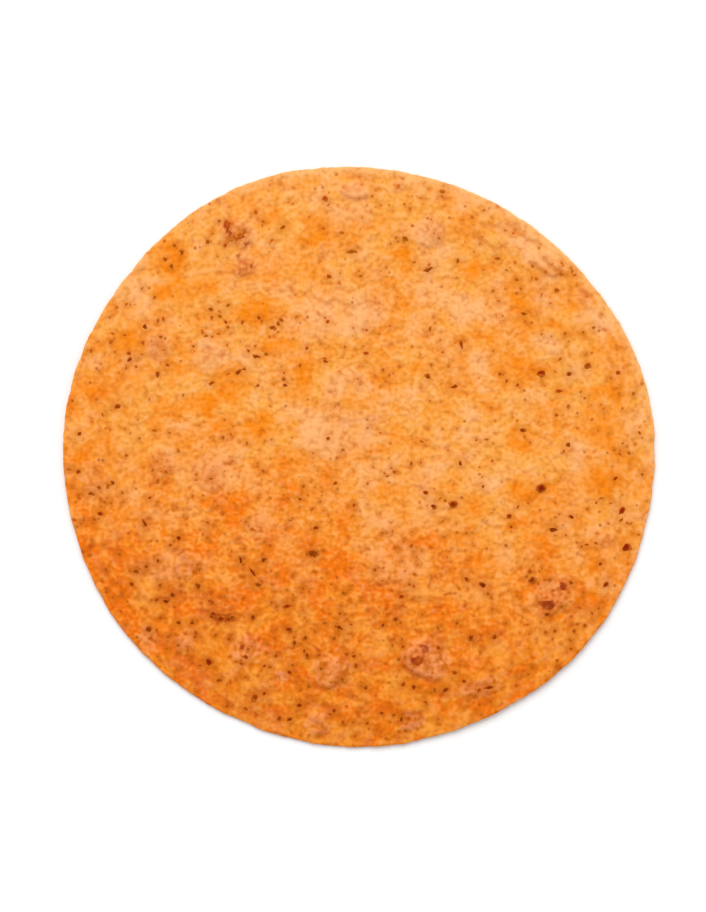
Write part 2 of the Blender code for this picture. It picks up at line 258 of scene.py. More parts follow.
class DoughShapeSettings(bpy.types.PropertyGroup):
    """Sizes of the sheet of dough."""

    top_cells: IntProperty(
        name="Top cells", description="Faces across the top of the wrap", default=270, min=8
    )
    underside_cells: IntProperty(
        name="Underside cells", description="Faces across the underside", default=135, min=8
    )
    rim_rounding: length_property("Rim rounding", "How far the rounded rim reaches in", 0.0006)
    raggedness: length_property("Raggedness", "How uneven the outline is", 0.0004)
    grain_height: length_property("Grain height", "Height of the wrinkles", 0.00043)
    grain_size: length_property("Grain size", "Width of the wrinkles", 0.0030)
    crease_depth: length_property("Crease depth", "Depth of the creases by the blisters", 0.00022)
    fine_relief: FloatProperty(
        name="Fine relief", description="Height of the finest wrinkles in mm", default=0.30, min=0.0
    )


class DoughColourSettings(bpy.types.PropertyGroup):
    """Colours of the baked dough."""

    middle: colour_property("Dough", "Main orange", screen(242, 150, 55))
    pale: colour_property("Pale", "Puffed, floury patches", screen(246, 174, 108))
    deep: colour_property("Deep orange", "Patches rich in tomato", screen(243, 134, 8))
    golden: colour_property("Golden", "Yellower parts", screen(243, 162, 66))
    # Near side and near rim are multiplied in: partly browner, longer-baked dough, partly painted shade
    # darker towards the near side.
    near_browning_and_shade: colour_property("Near side", "Tint of the side that baked longer", screen(253, 222, 132))
    near_rim_browning_and_shade: colour_property("Near rim", "Tint towards the near rim", screen(246, 243, 212))
    dull: colour_property("Dull", "Duller parts of the near side", screen(216, 130, 84))
    # Blister skin: pale dough, paler still where raised as a painted highlight.
    blister: colour_property("Blisters", "Dry skin of the near side's blisters", screen(242, 152, 96))
    # Paler wrinkle tops: partly dry dough, partly a painted highlight.
    dry_crest_and_highlight: colour_property("Crests", "Dry, paler tops of the wrinkles", screen(254, 184, 122))
    # Brown: brown clouds of the dough, and painted shade in the hollows of the wrinkles.
    brown: colour_property("Brown", "Brown hollows and clouds", screen(190, 84, 0))
    # Creases: a brown line along each crease, with painted shade in it.
    crease_brown_and_shade: colour_property("Creases", "Creases by the blisters", screen(180, 78, 2))
    toasted: colour_property("Toasted", "Browned spots", screen(206, 100, 38))
    charred: colour_property("Charred", "Darkest dots of the browned spots", screen(146, 46, 2))
    rim: colour_property("Rim", "Dry dough along the rim", screen(244, 178, 106))
    stain: colour_property("Stains", "Juice of the herbs in the dough round them", screen(192, 92, 2))
    speck: colour_property("Specks", "Finest ground herbs in the dough", screen(168, 78, 0))


class FleckSettings(bpy.types.PropertyGroup):
    """Number and colours of the flecks baked into the dough."""

    top_count: IntProperty(
        name="Flecks on top", description="Small flecks scattered over the top", default=640, min=0
    )
    underside_count: IntProperty(
        name="Flecks below", description="Small flecks over the underside", default=420, min=0
    )
    smallest: length_property("Smallest", "Length of the smallest fleck", 0.0010)
    largest: length_property("Largest", "Length of the largest scattered fleck", 0.0026)
    thickness: length_property("Thickness", "Thickness of a fleck", 0.00030)
    herb_dark: colour_property("Herb, dark", "Darkest leaf bits", screen(122, 32, 0))
    herb_light: colour_property("Herb, light", "Lightest leaf bits", screen(200, 108, 10))
    chilli_dark: colour_property("Chilli, dark", "Darkest chilli bits", screen(130, 24, 0))
    chilli_light: colour_property("Chilli, light", "Lightest chilli bits", screen(208, 90, 12))
    film: colour_property("Film", "Dough that covers the edge of a fleck", screen(218, 118, 30))


class StageSettings(bpy.types.PropertyGroup):
    """Floor, light and camera."""

    floor_colour: colour_property("Floor", "Plain pale floor", (0.95, 0.95, 0.95))
    floor_width: length_property("Floor width", "Side of the square floor", 8.0)
    lens: FloatProperty(
        name="Lens", description="Focal length", default=85.0, min=1.0, unit="CAMERA"
    )
    key_power: FloatProperty(
        name="Key light", description="Power of the soft light", default=114.0, unit="POWER"
    )
    fill: FloatProperty(name="Fill light", description="Strength of the white room", default=0.64)


def to_mesh(bm, name):
    """Turn a finished bmesh into a mesh."""
    mesh = bpy.data.meshes.new(name)
    bm.to_mesh(mesh)
    bm.free()
    return mesh


def add_object(name, data):
    """Put a new object with this data into the scene."""
    made = bpy.data.objects.new(name, data)
    bpy.context.scene.collection.objects.link(made)
    return made


# ---- the sheet of dough


def smooth_step(value):
    """Ease from 0 to 1 as value goes from 0 to 1; works on numbers and on arrays."""
    value = np.clip(value, 0.0, 1.0)
    return value * value * (3.0 - 2.0 * value)


def noise_field(x, y, size, seed, depth=0.0):
    """Slow noise of the given feature size at many places, between about -1 and 1."""
    z = seed + np.broadcast_to(depth, x.shape) / size
    places = np.stack((x / size, y / size, z), axis=1).tolist()
    return np.array([noise.noise(place) for place in places])


class FrameShape:
    """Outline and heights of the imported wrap."""

    RIM_STEPS = 180
    RIM_SAMPLE = 0.985  # share of the radius at which the rim's heights are read

    def __init__(self, node):
        solid = bmesh.new()
        solid.from_mesh(node.data)
        solid.transform(node.matrix_world)
        self.tree = BVHTree.FromBMesh(solid)
        places = np.array([vert.co[:] for vert in solid.verts])
        solid.free()
        radii = np.hypot(places[:, 0], places[:, 1])
        angles = np.arctan2(places[:, 1], places[:, 0])
        bins = np.floor((angles / math.tau + 0.5) * self.RIM_STEPS).astype(int)
        outermost = []
        for step in range(self.RIM_STEPS):
            members = np.flatnonzero(bins == step)
            outermost.append(members[np.argmax(radii[members])])
        self.angles = angles[outermost]
        self.radii = radii[outermost]
        rim = [self.heights(a, self.RIM_SAMPLE * r) for a, r in zip(self.angles, self.radii)]
        self.rim_top = np.array([top for top, bottom in rim])
        self.rim_bottom = np.array([bottom for top, bottom in rim])

    def ring(self, angle, values):
        """Read values that were taken round the rim at this angle."""
        return np.interp(angle, self.angles, values, period=math.tau)

    def radius(self, angle):
        """Distance from the middle to the rim at this angle."""
        return self.ring(angle, self.radii)

    def heights(self, angle, radius):
        """Top and bottom of the solid at this place."""
        x, y = radius * math.cos(angle), radius * math.sin(angle)
        top = self.tree.ray_cast(Vector((x, y, 1.0)), Vector((0, 0, -1)))[0]
        bottom = self.tree.ray_cast(Vector((x, y, -1.0)), Vector((0, 0, 1)))[0]
        if top is None or bottom is None:
            raise RuntimeError(f"the frame has no dough at {x:.4f}, {y:.4f}")
        return top.z, bottom.z


def square_to_round(a, b):
    """Turn a point of the square grid into a share of the radius and an angle."""
    share = max(abs(a), abs(b))
    if share == 0.0:
        return 0.0, 0.0
    if abs(a) >= abs(b):
        angle = math.pi / 4 * b / a
        return share, angle if a > 0 else angle + math.pi
    angle = math.pi / 2 - math.pi / 4 * a / b
    return share, angle if b > 0 else angle + math.pi


class DoughSheet:
    """Builds the closed mesh of the wrap: a fine top, a rounded rim and a coarser underside."""

    RIM_TURNS = (60.0, 30.0, 0.0, -30.0, -60.0)
    SMOOTHINGS = 14

    def __init__(self, shape, settings):
        self.shape = shape
        self.settings = settings
        self.bm = bmesh.new()
        self.top_share = self.bm.verts.layers.float.new("top_share")
        self.unfolded = self.bm.verts.layers.float.new("unfolded")

    def ragged_radius(self, angle):
        """Distance to the rim, with small nicks and bulges on the frame's outline."""
        size = self.settings.raggedness
        place = Vector((math.cos(angle), math.sin(angle), 0.0))
        nicks = noise.noise(place * 16.0) + 0.7 * noise.noise(place * 47.0 + Vector((0, 0, 3)))
        return float(self.shape.radius(angle)) + size * nicks

    def disc(self, cells, on_top):
        """Lay out one skin as a grid shaped into the outline, at the frame's height."""
        made = bmesh.ops.create_grid(self.bm, x_segments=cells, y_segments=cells, size=1.0)
        rim = []
        for vert in made["verts"]:
            share, angle = square_to_round(vert.co.x, vert.co.y)
            radius = share * (self.ragged_radius(angle) - self.settings.rim_rounding)
            within = min(radius, FrameShape.RIM_SAMPLE * float(self.shape.radius(angle)))
            top, bottom = self.shape.heights(angle, within)
            height = top if on_top else bottom
            vert.co = (radius * math.cos(angle), radius * math.sin(angle), height)
            vert[self.top_share] = 1.0 if on_top else 0.0
            vert[self.unfolded] = radius
            if vert.is_boundary:
                rim.append(vert)
        inner = list(set(made["verts"]) - set(rim))
        for _ in range(self.SMOOTHINGS if on_top else self.SMOOTHINGS // 4):
            bmesh.ops.smooth_vert(self.bm, verts=inner, factor=0.5, use_axis_z=True)
        ring = set(rim)
        return [e for e in self.bm.edges if e.is_boundary and e.verts[0] in ring and e.verts[1] in ring]

    def turn_rim(self, edges):
        """Carry the top's edge round the rim, one narrow ring at a time."""
        rounding = self.settings.rim_rounding
        for turn in map(math.radians, self.RIM_TURNS):
            made = bmesh.ops.extrude_edge_only(self.bm, edges=edges)["geom"]
            ring = {item for item in made if isinstance(item, bmesh.types.BMVert)}
            for vert in ring:
                angle = math.atan2(vert.co.y, vert.co.x)
                top = float(self.shape.ring(angle, self.shape.rim_top))
                bottom = float(self.shape.ring(angle, self.shape.rim_bottom))
                inner = self.ragged_radius(angle) - rounding
                radius = inner + rounding * math.cos(turn)
                height = (top + bottom) / 2 + (top - bottom) / 2 * math.sin(turn)
                vert.co = (radius * math.cos(angle), radius * math.sin(angle), height)
                vert[self.top_share] = (1.0 + math.sin(turn)) / 2
                vert[self.unfolded] = inner + rounding * (math.pi / 2 - turn)
            edges = [
                item
                for item in made
                if isinstance(item, bmesh.types.BMEdge) and set(item.verts) <= ring
            ]
        return edges

    def build(self):
        """Make the whole closed sheet and return its mesh."""
        rim_edges = self.turn_rim(self.disc(self.settings.top_cells, True))
        upper = set(self.bm.faces)
        under_edges = self.disc(self.settings.underside_cells, False)
        bmesh.ops.bridge_loops(self.bm, edges=rim_edges + under_edges)
        for face in self.bm.faces:
            face.smooth = True
            face.material_index = 0 if face in upper else 1
        bmesh.ops.recalc_face_normals(self.bm, faces=self.bm.faces[:])
        return to_mesh(self.bm, "baked_dough")


def distance_to(spot, x, y):
    """Distance from an oval spot's middle, where 1 is its edge."""
    centre_x, centre_y, half_length, half_width, turn = spot[:5]
    cosine = math.cos(math.radians(turn))
    sine = math.sin(math.radians(turn))
    along = ((x - centre_x * MM) * cosine + (y - centre_y * MM) * sine) / (half_length * MM)
    across = ((y - centre_y * MM) * cosine - (x - centre_x * MM) * sine) / (half_width * MM)
    return np.hypot(along, across)


PHOTO_WIDTH, PHOTO_HEIGHT = 706, 912
PHOTO_ORIGIN = (359.0, 457.0)  # pixel of the wrap's middle
PIXELS_PER_METRE = 2335.0


def from_photo(pixel):
    """Place on the wrap, in metres, of a pixel of the photograph."""
    x = (pixel[0] - PHOTO_ORIGIN[0]) / PIXELS_PER_METRE
    y = (PHOTO_ORIGIN[1] - pixel[1]) / PIXELS_PER_METRE
    return x, y


def distance_to_line(start, end, x, y):
    """Distance in metres from the straight line between two pixels of the photograph."""
    (from_x, from_y), (to_x, to_y) = from_photo(start), from_photo(end)
    run_x, run_y = to_x - from_x, to_y - from_y
    share = ((x - from_x) * run_x + (y - from_y) * run_y) / (run_x**2 + run_y**2)
    share = np.clip(share, 0.0, 1.0)
    return np.hypot(x - from_x - share * run_x, y - from_y - share * run_y)


class DoughRelief:
    """Heights and browning of the dough at the vertices of its mesh."""

    WARP, WARP_SIZE = 0.0012, 0.006  # how far ovals are bent out of shape, and the size of the bends
    FINE_WARP, FINE_WARP_SIZE = 0.0004, 0.0022
    PATCH_WARP, PATCH_WARP_SIZE = 0.0035, 0.009
    CREASE_WIDTH = 0.00095
    HIGH_RISE = 0.40  # millimetres of rise from which a blister's pale skin ends most sharply
    DRIFT, DRIFT_SIZE = 0.004, 0.012  # how far the wrinkles wander from a straight line
    RINGS_RADIUS = 0.060  # of the cylinder of noise that the wrinkles round the rim are read off
    SWELL_HEIGHT, SWELL_SIZE = 0.00013, 0.0070

    def __init__(self, x, y, settings):
        self.x, self.y = x, y
        self.settings = settings
        self.radius = np.hypot(x, y)
        self.bent_x = x + self.WARP * noise_field(x, y, self.WARP_SIZE, 11.0)
        self.bent_y = y + self.WARP * noise_field(x, y, self.WARP_SIZE, 23.0)
        fine = self.FINE_WARP * noise_field(x, y, self.FINE_WARP_SIZE, 31.0)
        self.bent_x += fine
        self.bent_y -= fine
        self.pale = np.zeros_like(x)
        self.bulge = np.zeros_like(x)

    def blisters(self):
        """Raise each blister, and note how far it pushes the wrinkles round itself."""
        height = np.zeros_like(self.x)
        for spot in BLISTERS:
            distance = distance_to(spot, self.bent_x, self.bent_y)
            dome = smooth_step((1.10 - distance) / 0.42)
            rise, paleness = spot[5:]
            height += rise * MM * dome
            softness = 0.95 - 0.45 * min(rise / self.HIGH_RISE, 1.0)
            self.pale = np.maximum(self.pale, paleness * smooth_step((1.25 - distance) / softness))
            self.bulge += 0.5 * (self.y - spot[1] * MM) * smooth_step((1.6 - distance) / 1.5)
        return height

    def creases(self):
        """How much each place is creased."""
        total = np.zeros_like(self.x)
        for strength, *points in CREASES:
            for start, end in zip(points, points[1:]):
                distance = distance_to_line(start, end, self.bent_x, self.bent_y)
                total = np.maximum(total, strength * np.exp(-((distance / self.CREASE_WIDTH) ** 2)))
        return total

    def grained(self):
        """Wrinkles that bulge round the blisters and follow the rim."""
        size = self.settings.grain_size
        drift = self.DRIFT * noise_field(self.x, self.y, self.DRIFT_SIZE, 43.0)
        level = noise_field(self.x * STRETCH, self.bent_y - self.bulge + drift, size, 41.0)
        unit = np.maximum(self.radius, 1e-6) / self.RINGS_RADIUS
        rings = noise_field(self.x / unit, self.y / unit, size, 47.0, self.radius)
        to_rim = smooth_step((self.radius - RINGS_START) / RINGS_BLEND)
        strength = 1.10 - 1.3 * self.y  # a little stronger towards the near side
        return (level * (1.0 - to_rim) + rings * to_rim) * strength

    def swells(self):
        """Wider unevenness all over."""
        return self.SWELL_HEIGHT * noise_field(self.x, self.y, self.SWELL_SIZE, 53.0)

    def toasted(self):
        """How browned each place is, and how thickly it is dotted with charred points."""
        browned = np.zeros_like(self.x)
        dotted = np.zeros_like(self.x)
        for spot in TOASTED:
            distance = distance_to(spot, self.bent_x, self.bent_y)
            browned = np.maximum(browned, spot[5] * smooth_step((1.35 - distance) / 0.75))
            dotted = np.maximum(dotted, spot[6] * smooth_step((1.15 - distance) / 0.65))
        return browned, dotted

    def deep(self):
        """How deep the orange of each place is."""
        total = np.zeros_like(self.x)
        bent_x = self.x + self.PATCH_WARP * noise_field(self.x, self.y, self.PATCH_WARP_SIZE, 61.0)
        bent_y = self.y + self.PATCH_WARP * noise_field(self.x, self.y, self.PATCH_WARP_SIZE, 67.0)
        for x, y, half_length, half_width, strength in DEEP_ORANGE:
            distance = distance_to((x, y, half_length, half_width, 0.0), bent_x, bent_y)
            total = np.maximum(total, strength * smooth_step((1.5 - distance) / 1.2))
        return total


def stains(x, y, flecks):
    """How much each place is stained by the flecks in the dough around it."""
    total = np.zeros_like(x)
    for fleck in flecks:
        reach = STAIN_REACH + fleck.length
        distance = np.hypot(x - fleck.x, y - fleck.y) / reach
        near = distance < 1.0
        total[near] = np.maximum(total[near], 1.0 - distance[near])
    return total


def set_values(mesh, name, values):
    """Store one number for each vertex."""
    attribute = mesh.attributes.new(name, "FLOAT", "POINT")
    attribute.data.foreach_set("value", values.astype(np.float32))


def finish_relief(mesh, shape, settings, flecks):
    """Add blisters, wrinkles and lumps to the sheet, and store its browning."""
    count = len(mesh.vertices)
    places = np.empty(count * 3)
    mesh.vertices.foreach_get("co", places)
    places = places.reshape(-1, 3)
    top_share = np.empty(count, np.float32)
    mesh.attributes["top_share"].data.foreach_get("value", top_share)
    x, y = places[:, 0].copy(), places[:, 1].copy()
    below = top_share < 0.2  # the underside has the same kinds of spots, a quarter turn round
    relief = DoughRelief(np.where(below, -y, x), np.where(below, x, y), settings)
    blisters, creased = relief.blisters(), relief.creases()
    grained, swells = relief.grained(), relief.swells()
    upper = blisters + swells + settings.grain_height * grained - settings.crease_depth * creased
    rim_share = relief.radius / shape.radius(np.arctan2(y, x))
    fade = 1.0 - 0.6 * smooth_step((rim_share - 0.985) / 0.015)  # the rim itself is smoother
    lumps = np.abs(noise_field(x, y, LUMP_SIZE, 71.0))
    under = UNDER_LIFT + LUMP_HEIGHT * lumps + 0.5 * swells
    under = np.maximum(under + 0.3 * settings.grain_height * grained, 0.0)
    places[:, 2] += (top_share * upper + (1.0 - top_share) * under) * fade
    mesh.vertices.foreach_set("co", places.ravel())
    browned, dotted = relief.toasted()
    set_values(mesh, "pale", relief.pale)
    set_values(mesh, "bulge", relief.bulge)
    set_values(mesh, "grained", grained)
    # Strength of the creases, which the materials darken partly as a brown line and partly as painted
    # shade.
    set_values(mesh, "crease_brown_and_shade", creased)
    set_values(mesh, "toasted", browned)
    set_values(mesh, "charred", dotted)
    set_values(mesh, "deep", relief.deep())
    set_values(mesh, "rim", smooth_step((rim_share - 0.955) / 0.045))
    set_values(mesh, "stain", stains(x, y, [fleck for fleck in flecks if fleck.on_top]))


# Where the two skins lie on the texture: middle and radius of each round patch.
TOP_PATCH = (0.400, 0.600, 0.395)
UNDER_PATCH = (0.810, 0.190, 0.180)


def lay_out_texture(mesh, largest_radius):
    """Give the mesh one map with the top and rim as a large disc and the underside as a small one."""
    layer = mesh.uv_layers.new(name="OFBake")
    unfolded = mesh.attributes["unfolded"].data
    for face in mesh.polygons:
        middle_u, middle_v, patch = UNDER_PATCH if face.material_index else TOP_PATCH
        for corner in face.loop_indices:
            index = mesh.loops[corner].vertex_index
            place = mesh.vertices[index].co.xy
            flat = place.length
            reach = flat if face.material_index else unfolded[index].value
            step = place / flat * (reach / largest_radius * patch) if flat else place
            u = middle_u - step.x if face.material_index else middle_u + step.x
            layer.data[corner].uv = (u, middle_v + step.y)


# ---- materials


class NodeMaker:
    """Adds shader nodes to one tree and joins them up."""

    def __init__(self, tree):
        self.tree = tree

    def add(self, kind, values=None, **settings):
        """Add a node with its settings, and feed its inputs by name."""
        node = self.tree.nodes.new(kind)
        for name, value in settings.items():
            setattr(node, name, value)
        for name, value in (values or {}).items():
            self.feed(node.inputs[name], value)
        return node

    def feed(self, socket, value):
        """Join a socket to another one, or give it a value."""
        if isinstance(value, bpy.types.NodeSocket):
            self.tree.links.new(value, socket)
        elif socket.type == "RGBA" and len(value) == 3:
            socket.default_value = (*value, 1.0)
        else:
            socket.default_value = value

    def math(self, operation, *values, clamp=False):
        """Work out a number from others."""
        node = self.add("ShaderNodeMath", operation=operation, use_clamp=clamp)
        for socket, value in zip(node.inputs, values):
            self.feed(socket, value)
        return node.outputs[0]

    def times(self, first, second, clamp=False):
        return self.math("MULTIPLY", first, second, clamp=clamp)

    def minus(self, first, second):
        return self.math("SUBTRACT", first, second)

    def scaled(self, value, factor, base):
        """A base plus a value times a factor."""
        return self.math("MULTIPLY_ADD", value, factor, base)

    def vector(self, operation, *values):
        """Work out a vector, or its length, from others."""
        node = self.add("ShaderNodeVectorMath", operation=operation)
        for socket, value in zip(node.inputs, values):
            self.feed(socket, value)
        return node.outputs["Value" if operation == "LENGTH" else "Vector"]

    def remap(self, value, low, high, to_low=0.0, to_high=1.0):
        """Ease a value from one range to another."""
        ends = {"From Min": low, "From Max": high, "To Min": to_low, "To Max": to_high}
        node = self.add("ShaderNodeMapRange", {"Value": value, **ends}, interpolation_type="SMOOTHSTEP")
        return node.outputs["Result"]

    def ease(self, share, low, high):
        """Go smoothly from low to high as share goes from 0 to 1."""
        return self.remap(share, 0.0, 1.0, low, high)

    def mix(self, share, first, second, blend="MIX"):
        """Blend two colours; the share is kept between 0 and 1."""
        node = self.add("ShaderNodeMix", data_type="RGBA", blend_type=blend, clamp_factor=True)
        for index, value in ((0, share), (6, first), (7, second)):
            self.feed(node.inputs[index], value)
        return node.outputs[2]

    def noise(self, place, size, detail=2.0, roughness=0.5):
        """Noise with features of the given size in metres."""
        values = {"Vector": place, "Scale": 1.0 / size, "Detail": detail, "Roughness": roughness}
        return self.add("ShaderNodeTexNoise", values).outputs["Fac"]

    def bend(self, place, size, reach):
        """Move places about by up to half of reach, so that patterns lose their grid."""
        node = self.add("ShaderNodeTexNoise", {"Vector": place, "Scale": 1.0 / size, "Detail": 1.0})
        shift = self.vector("SUBTRACT", node.outputs["Color"], (0.5, 0.5, 0.5))
        shift = self.vector("MULTIPLY", shift, (2 * reach, 2 * reach, 0.0))
        return self.vector("ADD", place, shift)

    def attribute(self, name):
        """Read a value stored at the vertices."""
        return self.add("ShaderNodeAttribute", attribute_name=name).outputs["Fac"]


def new_group(name, inputs, outputs):
    """Start a node group; inputs and outputs map socket names to socket kinds."""
    tree = bpy.data.node_groups.new(name, "ShaderNodeTree")
    for in_out, sockets in (("INPUT", inputs), ("OUTPUT", outputs)):
        for socket, kind in sockets.items():
            tree.interface.new_socket(socket, in_out=in_out, socket_type=kind)
    maker = NodeMaker(tree)
    return tree, maker, maker.add("NodeGroupInput").outputs, maker.add("NodeGroupOutput").inputs


def use_group(maker, tree, **values):
    """Place a node group and feed its inputs."""
    node = maker.add("ShaderNodeGroup", node_tree=tree)
    for name, value in values.items():
        maker.feed(node.inputs[name], value)
    return node.outputs


FLOAT, VECTOR = "NodeSocketFloat", "NodeSocketVector"


def cloud_group():
    """Soft clouds of tone, from deep orange at 0 to pale at 1, and of gold."""
    tree, maker, given, out = new_group(
        "dough_clouds", {"Place": VECTOR}, {"Tone": FLOAT, "Golden": FLOAT}
    )
    bent = maker.bend(given["Place"], size=0.0130, reach=0.0050)
    clouds = maker.noise(bent, size=0.022, roughness=1.0)
    maker.feed(out["Tone"], maker.scaled(maker.minus(clouds, 0.5), 1.7, 0.52))
    aside = maker.vector("ADD", bent, (0.73, 0.59, 0.11))
    maker.feed(out["Golden"], maker.remap(maker.noise(aside, size=0.024), 0.36, 0.62))
    return tree


def wrinkle_group():
    """Fine wrinkles, level in the middle, bulging round the blisters and following the rim."""
    tree, maker, given, out = new_group(
        "dough_wrinkles", {"Place": VECTOR, "Bulge": FLOAT}, {"Height": FLOAT}
    )
    bent = maker.bend(given["Place"], size=0.0070, reach=0.0012)
    pushed = maker.add("ShaderNodeCombineXYZ", {"Y": given["Bulge"]}).outputs[0]
    level = maker.vector("MULTIPLY", maker.vector("SUBTRACT", bent, pushed), (STRETCH, 1.0, 1.0))
    inner = maker.noise(level, size=0.0021, detail=0.5)
    flat = maker.vector("MULTIPLY", bent, (1.0, 1.0, 0.0))
    radius = maker.vector("LENGTH", flat)
    # Round the rim the noise is read off a cylinder, one height for each radius.
    spread = maker.vector("MULTIPLY", maker.vector("NORMALIZE", flat), (0.056, 0.056, 0.0))
    outward = maker.add("ShaderNodeCombineXYZ", {"Z": radius}).outputs[0]
    outer = maker.noise(maker.vector("ADD", spread, outward), size=0.0021, detail=0.5)
    to_rim = maker.remap(radius, RINGS_START, RINGS_START + RINGS_BLEND)
    blend = maker.scaled(maker.minus(outer, inner), to_rim, inner)
    maker.feed(out["Height"], maker.minus(blend, 0.5))
    return tree


def crumb_group():
    """Fine crumb of the dough, and wider brown clouds in it."""
    tree, maker, given, out = new_group(
        "dough_crumb", {"Place": VECTOR}, {"Height": FLOAT, "Cloud": FLOAT}
    )
    bent = maker.bend(given["Place"], size=0.0040, reach=0.0008)
    crumb = maker.noise(bent, size=0.0018, detail=0.0)
    maker.feed(out["Height"], maker.minus(crumb, 0.5))
    aside = maker.vector("ADD", bent, (0.19, 0.83, 0.37))
    cloud = maker.noise(aside, size=0.0060, detail=1.0, roughness=0.9)
    maker.feed(out["Cloud"], maker.remap(cloud, 0.48, 0.76))
    return tree


def speck_group():
    """Finest ground herbs: dots in some of the cells of a fine net."""
    tree, maker, given, out = new_group(
        "ground_herbs", {"Place": VECTOR, "Spacing": FLOAT, "Share": FLOAT}, {"Dot": FLOAT, "Tint": FLOAT}
    )
    scale = maker.math("DIVIDE", 1.0, given["Spacing"])
    wobble = maker.add("ShaderNodeTexNoise", {"Vector": given["Place"], "Scale": 1200.0})
    shift = maker.vector("SUBTRACT", wobble.outputs["Color"], (0.5, 0.5, 0.5))
    place = maker.vector("MULTIPLY_ADD", shift, (0.0006, 0.0006, 0.0006), given["Place"])
    cells = maker.add("ShaderNodeTexVoronoi", {"Vector": place, "Scale": scale}, feature="F1")
    chance = maker.add("ShaderNodeSeparateColor", {"Color": cells.outputs["Color"]}).outputs
    chosen = maker.math("LESS_THAN", chance["Red"], given["Share"])
    radius = maker.ease(chance["Green"], 0.10, 0.24)
    dot = maker.remap(maker.minus(radius, cells.outputs["Distance"]), -0.12, 0.14)
    maker.feed(out["Dot"], maker.times(dot, chosen))
    maker.feed(out["Tint"], chance["Blue"])
    return tree


def grain_group():
    """Fine grain of a dry, matt surface."""
    tree, maker, given, out = new_group(
        "fine_grain", {"Place": VECTOR, "Size": FLOAT}, {"Height": FLOAT, "Shade": FLOAT}
    )
    scale = maker.math("DIVIDE", 1.0, given["Size"])
    values = {"Vector": given["Place"], "Scale": scale, "Detail": 3.0}
    grain = maker.add("ShaderNodeTexNoise", values).outputs["Fac"]
    maker.feed(out["Height"], maker.minus(grain, 0.5))
    maker.feed(out["Shade"], maker.remap(grain, 0.32, 0.68))
    return tree


def shared_groups():
    """The node groups, made once."""
    made = {
        "clouds": ("dough_clouds", cloud_group),
        "wrinkles": ("dough_wrinkles", wrinkle_group),
        "crumb": ("dough_crumb", crumb_group),
        "specks": ("ground_herbs", speck_group),
        "grain": ("fine_grain", grain_group),
    }
    return {key: bpy.data.node_groups.get(name) or make() for key, (name, make) in made.items()}


def start_material(name, specular):
    """Make an empty material with its Principled shader."""
    material = bpy.data.materials.new(name)
    material.use_nodes = True
    maker = NodeMaker(material.node_tree)
    shader = material.node_tree.nodes["Principled BSDF"]
    shader.inputs["Specular IOR Level"].default_value = specular
    place = maker.add("ShaderNodeTexCoord").outputs["Object"]
    return material, maker, shader, place


def join_bump(maker, shader, height):
    """Feed a height in millimetres to the shader's normal."""
    bump = maker.add("ShaderNodeBump", {"Strength": 1.0, "Distance": MM, "Height": height})
    maker.feed(shader.inputs["Normal"], bump.outputs["Normal"])


